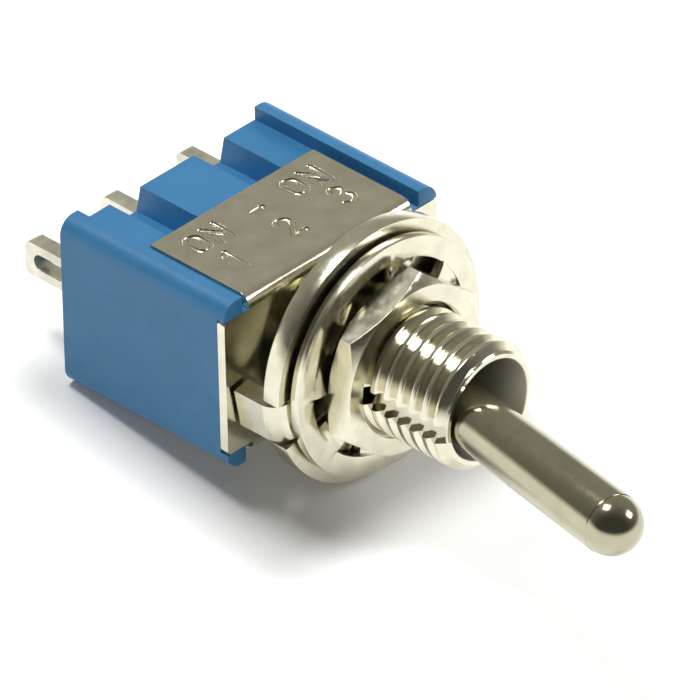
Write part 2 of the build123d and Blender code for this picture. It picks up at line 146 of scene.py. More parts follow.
# ---- settings
class ToggleFinishSettings(bpy.types.PropertyGroup):
    """Colours and surface values of the materials."""

    case_blue: bpy.props.FloatVectorProperty(
        name="Case blue", description="Colour of the moulded case", subtype="COLOR",
        size=3, min=0.0, max=1.0, default=(0.046, 0.24, 0.505),
    )
    case_roughness: bpy.props.FloatProperty(
        name="Case roughness", description="Roughness of the moulded case", subtype="FACTOR",
        min=0.0, max=1.0, default=0.42,
    )
    nickel: bpy.props.FloatVectorProperty(
        name="Nickel", description="Colour of the nickel plate on the sheet and the bushing",
        subtype="COLOR", size=3, min=0.0, max=1.0, default=(0.7, 0.675, 0.54),
    )
    nickel_roughness: bpy.props.FloatProperty(
        name="Nickel roughness", description="Mean roughness of the nickel plate",
        subtype="FACTOR", min=0.0, max=1.0, default=0.2,
    )
    # Painted shade: the bore's colour is the nickel at about half its brightness, standing in for the shade
    # inside the bushing's bore.
    bore: bpy.props.FloatVectorProperty(
        name="Bore", description="Colour of the dull plate inside the bushing", subtype="COLOR",
        size=3, min=0.0, max=1.0, default=(0.36, 0.345, 0.29),
    )
    bore_roughness: bpy.props.FloatProperty(
        name="Bore roughness", description="Roughness of the dull plate inside the bushing",
        subtype="FACTOR", min=0.0, max=1.0, default=0.5,
    )
    # Painted shade: the lever's colour is the nickel at about three fifths of its brightness, standing in
    # for the darker look of the lever.
    lever_nickel_painted_shade: bpy.props.FloatVectorProperty(
        name="Lever nickel", description="Colour of the polished plate on the lever",
        subtype="COLOR", size=3, min=0.0, max=1.0, default=(0.43, 0.415, 0.305),
    )
    lever_roughness: bpy.props.FloatProperty(
        name="Lever roughness", description="Mean roughness of the polished lever with painted shade",
        subtype="FACTOR", min=0.0, max=1.0, default=0.13,
    )
    tin: bpy.props.FloatVectorProperty(
        name="Tin", description="Colour of the tinned lugs", subtype="COLOR",
        size=3, min=0.0, max=1.0, default=(0.69, 0.67, 0.56),
    )
    tin_roughness: bpy.props.FloatProperty(
        name="Tin roughness", description="Mean roughness of the tinned lugs", subtype="FACTOR",
        min=0.0, max=1.0, default=0.34,
    )
    silver: bpy.props.FloatVectorProperty(
        name="Contact silver", description="Colour of the silver plated contacts",
        subtype="COLOR", size=3, min=0.0, max=1.0, default=(0.78, 0.76, 0.72),
    )
    spring_steel: bpy.props.FloatVectorProperty(
        name="Spring steel", description="Colour of the plunger's spring and the lever's pin",
        subtype="COLOR", size=3, min=0.0, max=1.0, default=(0.5, 0.49, 0.46),
    )
    acetal: bpy.props.FloatVectorProperty(
        name="Acetal", description="Colour of the plunger", subtype="COLOR",
        size=3, min=0.0, max=1.0, default=(0.72, 0.7, 0.62),
    )
    resin: bpy.props.FloatVectorProperty(
        name="Resin", description="Colour of the sealing resin", subtype="COLOR",
        size=3, min=0.0, max=1.0, default=(0.02, 0.05, 0.1),
    )
    board: bpy.props.FloatVectorProperty(
        name="Board", description="Colour of the insulating board", subtype="COLOR",
        size=3, min=0.0, max=1.0, default=(0.16, 0.075, 0.03),
    )


class ToggleShapeSettings(bpy.types.PropertyGroup):
    """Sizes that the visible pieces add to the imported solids."""

    case_edge: bpy.props.FloatProperty(
        name="Case edge", description="Width of the rounding on the moulded edges",
        unit="LENGTH", default=0.12 * MM,
    )
    sheet_edge: bpy.props.FloatProperty(
        name="Sheet edge", description="Width of the rounding on the pressed sheet's edges",
        unit="LENGTH", default=0.055 * MM,
    )
    nut_edge: bpy.props.FloatProperty(
        name="Nut edge", description="Width of the rounding on the nuts' edges",
        unit="LENGTH", default=0.06 * MM,
    )
    thread_pitch: bpy.props.FloatProperty(
        name="Thread pitch", description="Advance of the bushing's thread in one turn",
        unit="LENGTH", default=0.75 * MM,
    )
    thread_depth: bpy.props.FloatProperty(
        name="Thread depth", description="Height of the thread from root to crest",
        unit="LENGTH", default=0.36 * MM,
    )
    keyway_width: bpy.props.FloatProperty(
        name="Keyway width", description="Width of the keyway along the thread",
        unit="LENGTH", default=0.9 * MM,
    )
    keyway_depth: bpy.props.FloatProperty(
        name="Keyway depth", description="Depth of the keyway below the thread's crest",
        unit="LENGTH", default=0.38 * MM,
    )
    mouth_chamfer: bpy.props.FloatProperty(
        name="Mouth chamfer", description="Chamfer at the bushing's front end",
        unit="LENGTH", default=0.4 * MM,
    )
    mouth_radius: bpy.props.FloatProperty(
        name="Mouth radius", description="Radius of the bushing's mouth",
        unit="LENGTH", default=2.34 * MM,
    )
    mouth_lip: bpy.props.FloatProperty(
        name="Mouth lip", description="Small chamfer at the edge of the bushing's mouth",
        unit="LENGTH", default=0.07 * MM,
    )
    round_steps: bpy.props.IntProperty(
        name="Round steps", description="Steps round a turned piece", min=24, max=192, default=96,
    )
    letter_height: bpy.props.FloatProperty(
        name="Stamp height", description="Height of the stamped characters",
        unit="LENGTH", default=1.34 * MM,
    )
    stamp_radius: bpy.props.FloatProperty(
        name="Stamp radius", description="Radius of the stamped strokes",
        unit="LENGTH", default=0.16 * MM,
    )
    washer_thickness: bpy.props.FloatProperty(
        name="Washer thickness", description="Thickness of the toothed washer",
        unit="LENGTH", default=0.45 * MM,
    )
    washer_rim: bpy.props.FloatProperty(
        name="Washer rim", description="Width of the toothed washer's plain band",
        unit="LENGTH", default=0.95 * MM,
    )
    washer_teeth: bpy.props.IntProperty(
        name="Washer teeth", description="Number of teeth on the toothed washer",
        min=4, max=16, default=8,
    )
    washer_turn: bpy.props.FloatProperty(
        name="Washer turn", description="Place of the first tooth round the thread",
        subtype="ANGLE", default=radians(33),
    )
    shoulder: bpy.props.FloatProperty(
        name="Shoulder", description="Rounding where the lever's dome begins",
        unit="LENGTH", default=0.05 * MM,
    )


class ToggleStageSettings(bpy.types.PropertyGroup):
    """The floor, the lights and the camera."""

    floor_size: bpy.props.FloatProperty(
        name="Floor size", description="Side of the floor", unit="LENGTH", default=1.2,
    )
    overhead_power: bpy.props.FloatProperty(
        name="Overhead power", description="Power of the soft lamp above the switch",
        unit="POWER", default=0.85,
    )
    overhead_place: bpy.props.FloatVectorProperty(
        name="Overhead place", description="Place of the soft lamp above the switch", unit="LENGTH",
        size=3, default=(-0.026, 0.1, 0.37),
    )
    front_power: bpy.props.FloatProperty(
        name="Front power", description="Power of the soft lamp in front", unit="POWER", default=0.42,
    )
    front_place: bpy.props.FloatVectorProperty(
        name="Front place", description="Place of the soft lamp in front", unit="LENGTH",
        size=3, default=(0.235, -0.235, 0.2),
    )
    lamp_size: bpy.props.FloatProperty(
        name="Lamp size", description="Side of each soft lamp", unit="LENGTH", default=0.11,
    )
    horizon_strength: bpy.props.FloatProperty(
        name="Horizon", description="Strength of the surround at the level of the floor",
        min=0.0, max=2.0, default=0.95,
    )
    horizon_height: bpy.props.FloatProperty(
        name="Horizon height", description="Sine of the height at which the horizon's light has faded",
        min=0.01, max=1.0, default=0.17,
    )
    back_strength: bpy.props.FloatProperty(
        name="Upper back", description="Strength of the surround above and behind the switch",
        min=0.0, max=2.0, default=0.38,
    )
    front_strength: bpy.props.FloatProperty(
        name="Upper front", description="Strength of the surround above and in front of the switch",
        min=0.0, max=2.0, default=0.08,
    )
    surround_colour: bpy.props.FloatVectorProperty(
        name="Surround", description="Colour of the surround", subtype="COLOR",
        size=3, min=0.0, max=1.0, default=(1.0, 0.975, 0.85),
    )
    paper_colour: bpy.props.FloatVectorProperty(
        name="Paper", description="Colour of the paper on the floor", subtype="COLOR",
        size=3, min=0.0, max=1.0, default=(0.85, 0.85, 0.85),
    )
    near_lift: bpy.props.FloatProperty(
        name="Near lift", description="How far the paper under the switch is lightened",
        min=0.0, max=1.0, default=0.07,
    )
    far_lift: bpy.props.FloatProperty(
        name="Far lift", description="How far the paper away from the switch is lightened",
        min=0.0, max=1.0, default=0.65,
    )
    lift_reach: bpy.props.FloatProperty(
        name="Lift reach", description="Distance from the switch at which the far lift is full",
        unit="LENGTH", default=4.2 * MM,
    )
    camera_azimuth: bpy.props.FloatProperty(
        name="Azimuth", description="Turn of the camera round the switch",
        subtype="ANGLE", default=radians(-45.265),
    )
    camera_elevation: bpy.props.FloatProperty(
        name="Elevation", description="Height of the camera above the case's mid plane",
        subtype="ANGLE", default=radians(34.514),
    )
    camera_roll: bpy.props.FloatProperty(
        name="Roll", description="Roll of the camera", subtype="ANGLE", default=radians(-1.333),
    )
    camera_distance: bpy.props.FloatProperty(
        name="Distance", description="Distance from the camera to its target",
        unit="LENGTH", default=600 * MM,
    )
    camera_target: bpy.props.FloatVectorProperty(
        name="Target", description="Point at the middle of the picture", unit="LENGTH",
        size=3, default=(-1.501 * MM, -2.505 * MM, 0.694 * MM),
    )
    camera_lens: bpy.props.FloatProperty(
        name="Lens", description="Focal length in millimetres for a 36 mm sensor", default=716.07,
    )


class ToggleSettings(bpy.types.PropertyGroup):
    """All settings of the switch."""

    finish: bpy.props.PointerProperty(type=ToggleFinishSettings)
    shape: bpy.props.PointerProperty(type=ToggleShapeSettings)
    stage: bpy.props.PointerProperty(type=ToggleStageSettings)


# ---- material helpers
def map_range(nodes, low, high, out_low, out_high, interpolation="LINEAR"):
    """A node that maps low..high to out_low..out_high, clamped."""
    node = nodes.new("ShaderNodeMapRange")
    node.interpolation_type = interpolation
    for label, number in (("From Min", low), ("From Max", high), ("To Min", out_low), ("To Max", out_high)):
        node.inputs[label].default_value = number
    return node


def vector_chain(nodes, links, value, *steps):
    """A vector taken through vector math nodes, each given by its operation and its operands."""
    for operation, *operands in steps:
        step = nodes.new("ShaderNodeVectorMath")
        step.operation = operation
        links.new(value, step.inputs[0])
        for operand in operands:
            step.inputs[1].default_value = operand
        value = step.outputs["Value" if operation in ("LENGTH", "DOT_PRODUCT") else "Vector"]
    return value


class Surface:
    """A node material under construction: its tree, its shader and the place that textures follow."""

    def __init__(self, name):
        self.material = bpy.data.materials.new(name)
        self.material.use_nodes = True
        self.nodes = self.material.node_tree.nodes
        self.links = self.material.node_tree.links
        self.shader = self.nodes["Principled BSDF"]
        self.place = self.nodes.new("ShaderNodeTexCoord").outputs["Object"]

    def noise(self, scale, detail, roughness=0.5, stretch=(1, 1, 1)):
        """Noise over the piece's own coordinates, scale in features per metre."""
        mapping = self.nodes.new("ShaderNodeMapping")
        mapping.inputs["Scale"].default_value = stretch
        self.links.new(self.place, mapping.inputs["Vector"])
        texture = self.nodes.new("ShaderNodeTexNoise")
        texture.inputs["Scale"].default_value = scale
        texture.inputs["Detail"].default_value = detail
        texture.inputs["Roughness"].default_value = roughness
        self.links.new(mapping.outputs["Vector"], texture.inputs["Vector"])
        return texture.outputs["Fac"]

    def ramp(self, value, low, high, out_low=0.0, out_high=1.0):
        """A value mapped from low..high to out_low..out_high."""
        node = map_range(self.nodes, low, high, out_low, out_high)
        self.links.new(value, node.inputs["Value"])
        return node.outputs["Result"]

    def spread(self, noise, low=0.0, high=1.0):
        """Noise stretched over a range, since most of it lies near its middle."""
        return self.ramp(noise, low=0.3, high=0.7, out_low=low, out_high=high)

    def mottled(self, noise, colour, mottle):
        """A colour that noise makes lighter and darker by a share."""
        return self.blend(self.spread(noise), scaled(colour, 1 - mottle), scaled(colour, 1 + mottle))

    def blend(self, factor, first, second):
        """A colour between two colours."""
        node = self.nodes.new("ShaderNodeMix")
        node.data_type = "RGBA"
        self.links.new(factor, node.inputs["Factor"])
        for socket, colour in ((node.inputs[6], first), (node.inputs[7], second)):
            if isinstance(colour, bpy.types.NodeSocket):
                self.links.new(colour, socket)
            else:
                socket.default_value = (*colour, 1.0)
        return node.outputs[2]

    def radius(self):
        """The distance from the Y axis."""
        return vector_chain(self.nodes, self.links, self.place, ("MULTIPLY", (1, 0, 1)), ("LENGTH",))

    def bump(self, height, distance):
        """Bump from a height value, chained onto any bump before it."""
        node = self.nodes.new("ShaderNodeBump")
        node.inputs["Distance"].default_value = distance
        self.links.new(height, node.inputs["Height"])
        before = self.shader.inputs["Normal"].links
        if before:
            self.links.new(before[0].from_socket, node.inputs["Normal"])
        self.links.new(node.outputs["Normal"], self.shader.inputs["Normal"])


def scaled(colour, factor):
    """A colour made lighter or darker."""
    return tuple(min(1.0, channel * factor) for channel in colour)


def plated(name, colour, roughness, mottle=0.09, grain=(1, 1, 1), bore=None):
    """Plate: metal with a mottled tone, fine handling scratches and a soft waviness.

    bore holds the radius of a bore on the Y axis, and the colour and roughness of the plate in it; that
    colour is a darker copy of the plate's, painted shade for the inside of the bore.
    """
    surface = Surface(name)
    surface.shader.inputs["Metallic"].default_value = 1.0
    tone = surface.mottled(surface.noise(scale=900, detail=4), colour, mottle)
    smear = surface.noise(scale=2200, detail=5, roughness=0.6, stretch=grain)
    rough = surface.spread(smear, low=roughness * 0.75, high=roughness * 1.35)
    if bore:
        radius, bore_shade_colour, bore_roughness = bore
        # inside the bore the colour turns to the darker copy, painted shade for the hollow, and the
        # roughness to the bore's
        outside = surface.ramp(surface.radius(), low=radius * 1.005, high=radius * 1.03)
        tone = surface.blend(outside, bore_shade_colour, tone)
        rough = surface.blend(outside, (bore_roughness,) * 3, rough)
    surface.links.new(tone, surface.shader.inputs["Base Color"])
    surface.links.new(rough, surface.shader.inputs["Roughness"])
    surface.bump(surface.noise(scale=1300, detail=2), distance=0.003 * MM)
    surface.bump(surface.noise(scale=9000, detail=4, roughness=0.6, stretch=grain), distance=0.0012 * MM)
    return surface.material


def moulded(name, colour, roughness, mottle=0.06):
    """Moulded plastic: an even colour with faint flow marks and a fine orange peel."""
    surface = Surface(name)
    tone = surface.mottled(surface.noise(scale=350, detail=4, roughness=0.6), colour, mottle)
    rough = surface.spread(surface.noise(scale=1500, detail=4), low=roughness * 0.88, high=roughness * 1.15)
    surface.links.new(tone, surface.shader.inputs["Base Color"])
    surface.links.new(rough, surface.shader.inputs["Roughness"])
    surface.bump(surface.noise(scale=2600, detail=3), distance=0.006 * MM)
    surface.bump(surface.noise(scale=14000, detail=3), distance=0.0015 * MM)
    return surface.material


# ---- mesh helpers
def new_piece(name, mesh, material, body, slot, *replaced):
    """An object for a mesh, given its material, its body, its slot and the nodes it stands for; the slot is
    not used.
    """
    piece = bpy.data.objects.new(name, mesh)
    bpy.context.scene.collection.objects.link(piece)
    mesh.materials.append(material)
    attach(piece, body)
    if replaced:
        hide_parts(*replaced)
    return piece


def give_material(material, *nodes):
    """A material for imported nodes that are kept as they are."""
    for node in nodes:
        materials = frame["nodes"][node].data.materials
        materials.clear()
        materials.append(material)


def finish_mesh(bm, name, sharp_angle):
    """A smooth-shaded mesh from a bmesh, with its folds over an angle kept sharp."""
    bmesh.ops.recalc_face_normals(bm, faces=bm.faces)
    mesh = bpy.data.meshes.new(name)
    bm.to_mesh(mesh)
    bm.free()
    for polygon in mesh.polygons:
        polygon.use_smooth = True
    mesh.set_sharp_from_angle(angle=sharp_angle)
    return mesh


def weight_normals(piece):
    """Normals that follow the large faces, so that flat faces shade flat beside rounded edges."""
    modifier = piece.modifiers.new("flat faces", "WEIGHTED_NORMAL")
    modifier.keep_sharp = True


def clean(bm):
    """Collapses edges and faces too small to see."""
    bmesh.ops.dissolve_degenerate(bm, edges=bm.edges, dist=TINY)


def round_edges(bm, width, fold_angle):
    """Rounds every edge whose faces meet at more than an angle."""
    folds = [edge for edge in bm.edges if len(edge.link_faces) == 2 and edge.calc_face_angle() > fold_angle]
    bmesh.ops.bevel(
        bm, geom=folds, offset=width, segments=EDGE_STEPS, profile=0.5, affect="EDGES",
        clamp_overlap=True, miter_outer="ARC",
    )
    clean(bm)


def softened_copy(node, name, width, material, body, slot, fold_angle=radians(28)):
    """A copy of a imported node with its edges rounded, which stands for the node."""
    bm = bmesh.new()
    bm.from_mesh(frame["nodes"][node].data)
    bmesh.ops.remove_doubles(bm, verts=bm.verts, dist=TINY)
    bmesh.ops.dissolve_limit(bm, angle_limit=radians(0.5), verts=bm.verts, edges=bm.edges)
    round_edges(bm, width, fold_angle)
    mesh = finish_mesh(bm, name, sharp_angle=radians(50))
    piece = new_piece(name, mesh, material, body, slot, node)
    weight_normals(piece)
    return piece


def combine(piece, operation, *others):
    """Joins other solids to a piece, or cuts them out of it, for good and removes them."""
    for other in others:
        modifier = piece.modifiers.new("combine", "BOOLEAN")
        modifier.operation = operation
        modifier.solver = "EXACT"
        modifier.object = other
    shaped = piece.evaluated_get(bpy.context.evaluated_depsgraph_get())
    piece.data = bpy.data.meshes.new_from_object(shaped)
    piece.modifiers.clear()
    bm = bmesh.new()
    bm.from_mesh(piece.data)
    clean(bm)
    bm.to_mesh(piece.data)
    bm.free()
    for other in others:
        bpy.data.objects.remove(other)


def helper_solid(name, bm):
    """An object for a solid that is joined to a piece or cut out of it."""
    solid = bpy.data.objects.new(name, finish_mesh(bm, name, sharp_angle=radians(30)))
    bpy.context.scene.collection.objects.link(solid)
    return solid


def ring_points(axis_point, outward, across, radius, steps):
    """Points on a circle, counted from outward towards across."""
    return [
        axis_point + radius * (cos(2 * pi * k / steps) * outward + sin(2 * pi * k / steps) * across)
        for k in range(steps)
    ]


def add_face(bm, *corners):
    """A face over its corners, unless too few of them differ."""
    unique = list(dict.fromkeys(corners))
    if len(unique) > 2:
        bm.faces.new(unique)


def join_rings(bm, low, high):
    """Faces between two closed rows of vertices; a row of one vertex closes an end."""
    for k in range(max(len(low), len(high))):
        near = low[k % len(low)], high[k % len(high)]
        far = low[(k + 1) % len(low)], high[(k + 1) % len(high)]
        add_face(bm, near[0], far[0], far[1], near[1])


def skin_rows(bm, rows, looped):
    """Faces between rows of equally many points, and from the last row to the first where it is looped."""
    made = [[bm.verts.new(point) for point in row] for row in rows]
    for low, high in zip(made, made[1:]):
        join_rings(bm, low, high)
    if looped:
        join_rings(bm, made[-1], made[0])


def turned(profile, start, aim, steps, looped=False):
    """A bmesh turned about a line: profile holds (distance along aim, radius)."""
    outward = aim.orthogonal().normalized()
    across = aim.cross(outward)
    rows = []
    for along, radius in profile:
        middle = start + aim * along
        rows.append([middle] if radius == 0 else ring_points(middle, outward, across, radius, steps))
    bm = bmesh.new()
    skin_rows(bm, rows, looped)
    return bm


def lever_hinge():
    """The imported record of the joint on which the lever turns."""
    return next(joint for joint in frame["record"]["behaviour"]["joints"] if joint["child"] == "lever")


class BushingForm:
    """The bushing's rows of points: a helical thread cut by a keyway outside, turned surfaces inside.

    Columns of points run once round, from one wall of the keyway to the other, then across its floor. A
    column is (angle, offset, reach): on the round, offset and reach are None; on the keyway, offset is the
    distance from its middle and reach is how far from the axis the metal goes.
    """

    def __init__(self, shape):
        low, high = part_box("bushing")
        self.crest = high.z
        self.root = self.crest - shape.thread_depth
        self.length = -low.y
        self.back = -high.y
        self.pitch = shape.thread_pitch
        self.chamfer_start = self.length - shape.mouth_chamfer
        self.mouth = shape.mouth_radius
        self.lip = shape.mouth_lip
        self.columns = self.round_columns(shape) + self.floor_columns(shape)

    def round_columns(self, shape):
        """The columns round the thread, of which the first and the last are the keyway's walls."""
        half = shape.keyway_width / 2
        wall_angle = pi - asin(half / self.crest)
        steps = shape.round_steps - KEYWAY_STEPS
        angles = [wall_angle - 2 * wall_angle * k / steps for k in range(steps + 1)]
        walls = ((angles[0], half, inf), (angles[-1], -half, inf))
        return [walls[0], *((angle, None, None) for angle in angles[1:-1]), walls[1]]

    def floor_columns(self, shape):
        """The columns across the keyway's floor."""
        half = shape.keyway_width / 2
        reach = self.crest - shape.keyway_depth
        offsets = [half * (2 * k / KEYWAY_FLOOR_STEPS - 1) for k in range(KEYWAY_FLOOR_STEPS + 1)]
        return [(-pi - asin(offset / self.crest), offset, reach) for offset in offsets]

    def thread_radius(self, angle, along):
        """The thread's radius at an angle and a distance along it, cut back by the chamfer at the mouth."""
        phase = (along / self.pitch - angle / (2 * pi)) % 1.0
        ridge = 1 - abs(2 * phase - 1)
        rise = min(1.0, max(0.0, (ridge - ROOT_SHARE) / FLANK_SHARE))
        chamfered = self.crest - (along - self.chamfer_start)
        return min(self.root + (self.crest - self.root) * rise, chamfered, self.crest)

    def outer_point(self, column, turns):
        """A column's point on the row that starts a number of turns along the helix."""
        angle, offset, reach = column
        along = min(self.length, max(0.0, (turns + angle / (2 * pi)) * self.pitch))
        radius = self.thread_radius(angle, along)
        if offset is None:
            return Vector((radius * cos(angle), -along, radius * sin(angle)))
        return Vector((-min(reach, sqrt(radius**2 - offset**2)), -along, offset))

    def outer_rows(self):
        """Rows from before the frame to past the mouth, with the points beyond each held at its plane."""
        first = -1 - 1 / ROWS_PER_TURN
        last = self.length / self.pitch + 1
        count = ceil((last - first) * ROWS_PER_TURN)
        starts = [first + k / ROWS_PER_TURN for k in range(count + 1)]
        return [[self.outer_point(column, turns) for column in self.columns] for turns in starts]

    def inner_rows(self):
        """Level rows from the mouth through the ball's seat and round the swaged back to the frame."""
        seat_middle = -lever_hinge()["pos_m"][1]
        throat = sqrt(SEAT**2 - THROAT_RISE**2)
        stations = [
            (self.length, self.mouth + self.lip),
            (self.length - self.lip, self.mouth),
            (seat_middle + THROAT_RISE, throat),
            *arc((seat_middle, 0), SEAT, asin(throat / SEAT), pi / 2, SEAT_STEPS)[1:],
            (self.back, SEAT),
            (self.back, SWAGE),
            (-SHEET, SWAGE),
            (-SHEET, SPIGOT),
            (0, SPIGOT),
        ]
        angles = [column[0] for column in self.columns]
        return [
            [Vector((radius * cos(angle), -along, radius * sin(angle))) for angle in angles]
            for along, radius in stations
        ]

    def mesh(self, name):
        """The mesh over the rows."""
        bm = bmesh.new()
        grid = [[bm.verts.new(point) for point in row] for row in self.outer_rows()]
        for k, (row, following) in enumerate(zip(grid, grid[1:])):
            for near, far, far_up, near_up in zip(row, row[1:], following[1:], following):
                add_face(bm, near, far, far_up, near_up)
            # the helix comes round one turn lower than it left
            closing = grid[max(0, k - ROWS_PER_TURN)][0]
            closing_up = grid[max(0, k + 1 - ROWS_PER_TURN)][0]
            add_face(bm, row[-1], closing, closing_up, following[-1])
        rings = [[bm.verts.new(point) for point in row] for row in self.inner_rows()]
        rings = [grid[-1], *rings, grid[0]]
        for ring, following in zip(rings, rings[1:]):
            join_rings(bm, ring, following)
        bmesh.ops.remove_doubles(bm, verts=bm.verts, dist=MERGED)
        clean(bm)
        return finish_mesh(bm, name, sharp_angle=radians(38))


# ---- operators
class TOGGLE_OT_case(bpy.types.Operator):
    """Round the moulded edges of the case and give it its blue plastic"""

    bl_idname = "toggle_switch.case"
    bl_label = "Case"

    def execute(self, context):
        settings = context.scene.toggle_switch
        blue = moulded("blue plastic", settings.finish.case_blue, settings.finish.case_roughness)
        softened_copy("case", "moulded_case", settings.shape.case_edge, blue, ROOT, "blue_plastic")
        return {"FINISHED"}


class TOGGLE_OT_frame(bpy.types.Operator):
    """Round the edges of the folded sheet frame, stamp it and plate it"""

    bl_idname = "toggle_switch.frame"
    bl_label = "Folded frame"

    def execute(self, context):
        settings = context.scene.toggle_switch
        shape = settings.shape
        finish = settings.finish
        nickel = plated("plated sheet", finish.nickel, finish.nickel_roughness, grain=(1, 6, 1))
        piece = softened_copy("frame", "folded_frame", shape.sheet_edge, nickel, ROOT, "plated_steel")
        combine(piece, "DIFFERENCE", *self.stamps(shape))
        piece.data.set_sharp_from_angle(angle=radians(30))
        weight_normals(piece)
        return {"FINISHED"}

    def stamps(self, shape):
        """Rods along the strokes of the characters, partly sunk in the upper leg."""
        low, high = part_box("frame")
        tall = shape.letter_height
        leg_middle = (high.y + low.y) / 2
        rise = shape.stamp_radius * STROKE_RISE
        made = []
        for row, (characters, pitch) in enumerate(STAMPED_ROWS):
            baseline = leg_middle + tall * (FIRST_BASELINE - ROW_SPACING * row)
            for index, character in enumerate(characters):
                across = (index - (len(characters) - 1) / 2) * tall * pitch
                place = Vector((across, baseline, high.z))
                for points, closed in STROKES.get(character, ()):
                    line = [place + Vector((x * tall, y * tall, rise)) for x, y in points]
                    made.append(self.rod(line, closed, shape.stamp_radius))
        return made

    def rod(self, line, closed, radius):
        """A rod along a level line, round at its ends where the line is open."""
        upward = Vector((0, 0, 1))
        count = len(line)
        rows = []
        for k, point in enumerate(line):
            before = line[k - 1] if k or closed else point
            after = line[(k + 1) % count] if k + 1 < count or closed else point
            along = (after - before).normalized()
            rows.append(ring_points(point, upward, along.cross(upward), radius, ROD_SIDES))
        if not closed:
            first = (line[1] - line[0]).normalized()
            last = (line[-1] - line[-2]).normalized()
            start = self.cap(line[0], -first, upward, first.cross(upward), radius)
            end = self.cap(line[-1], last, upward, last.cross(upward), radius)
            rows = [*reversed(start), *rows, *end]
        bm = bmesh.new()
        skin_rows(bm, rows, closed)
        return helper_solid("stroke", bm)

    def cap(self, end, outward, upward, side, radius):
        """The rows of a round end, from its widest to its tip."""
        rings = [
            ring_points(end + outward * radius * sin(angle), upward, side, radius * cos(angle), ROD_SIDES)
            for angle in (pi / 6, pi / 3)
        ]
        return [*rings, [end + outward * radius]]


class TOGGLE_OT_bushing(bpy.types.Operator):
    """Cut the thread and its keyway on the bushing and plate it"""

    bl_idname = "toggle_switch.bushing"
    bl_label = "Threaded bushing"

    def execute(self, context):
        settings = context.scene.toggle_switch
        finish = settings.finish
        cut_roughness = finish.nickel_roughness * 0.65
        # the bore's darker colour is painted shade for the inside of the bushing
        bore = (settings.shape.mouth_radius, finish.bore, finish.bore_roughness)
        nickel = plated("plated thread with painted bore shade", finish.nickel, cut_roughness, bore=bore)
        mesh = BushingForm(settings.shape).mesh("threaded_bushing")
        new_piece("threaded_bushing", mesh, nickel, ROOT, "plated_brass", "bushing")
        return {"FINISHED"}


class TOGGLE_OT_lever(bpy.types.Operator):
    """Turn and polish the lever and drill it for its pin"""

    bl_idname = "toggle_switch.lever"
    bl_label = "Lever"

    def execute(self, context):
        settings = context.scene.toggle_switch
        finish = settings.finish
        # the lever's darker nickel is painted shade
        polished = plated("polished lever with painted shade", finish.lever_nickel_painted_shade, finish.lever_roughness, mottle=0.06)
        hinge = lever_hinge()
        half_throw = radians(hinge["range_deg"][1] / 2)
        pivot = Vector(hinge["pos_m"])
        aim = Vector((-sin(half_throw), -cos(half_throw), 0))
        profile = self.profile(settings.shape, pivot, half_throw)
        bm = turned(profile, pivot, aim, settings.shape.round_steps)
        mesh = finish_mesh(bm, "turned_lever", sharp_angle=radians(24))
        piece = new_piece("turned_lever", mesh, polished, "lever", "lever_metal", "lever")
        upward = Vector((0, 0, 1))
        hole = [(0, 0), (0, PIN_HOLE), (2 * BALL, PIN_HOLE), (2 * BALL, 0)]
        pin = turned(hole, pivot - BALL * upward, upward, PIN_SIDES)
        combine(piece, "DIFFERENCE", helper_solid("pin_hole", pin))
        return {"FINISHED"}

    def profile(self, shape, pivot, half_throw):
        """Stations along the lever from its pivot: the bored tail, the ball, the shank and the dome."""
        mouth_rise = -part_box("bushing")[0].y + pivot.y
        shank_start = mouth_rise * cos(half_throw) + shape.mouth_radius * sin(half_throw)
        tail = -6.6 * MM
        tail_radius = 1.05 * MM
        bore_end = tail + 4.0 * MM
        bore_radius = 0.73 * MM
        neck_radius = 1.229 * MM
        shank_radius = 1.32 * MM
        grip_start = 9.65 * MM
        grip_radius = 1.42 * MM
        grip_end = 15.25 * MM
        rounding = shape.shoulder
        rounding_end = pi / 9
        shoulder = (grip_end - rounding, grip_radius - rounding)
        dome_radius = grip_radius - rounding * (1 - sin(rounding_end))
        tip = grip_end + grip_radius
        return [
            (bore_end, 0),
            (bore_end, bore_radius),
            (tail, bore_radius),
            (tail, tail_radius),
            *arc((0, 0), BALL, pi - asin(tail_radius / BALL), asin(neck_radius / BALL), BALL_STEPS),
            (shank_start, shank_radius),
            (grip_start, grip_radius),
            *arc(shoulder, rounding, pi / 2, rounding_end, SHOULDER_STEPS),
            *arc((tip - dome_radius, 0), dome_radius, pi / 2, 0, DOME_STEPS)[:-1],
            (tip, 0),
        ]


class TOGGLE_OT_nuts(bpy.types.Operator):
    """Round the edges of the nuts and plate them"""

    bl_idname = "toggle_switch.nuts"
    bl_label = "Nuts"

    def execute(self, context):
        settings = context.scene.toggle_switch
        finish = settings.finish
        nickel = plated("plated nuts", finish.nickel, finish.nickel_roughness)
        softened_copy(
            "mounting_nuts", "hexagon_nuts", settings.shape.nut_edge, nickel, ROOT, "plated_brass",
            fold_angle=radians(24),
        )
        return {"FINISHED"}


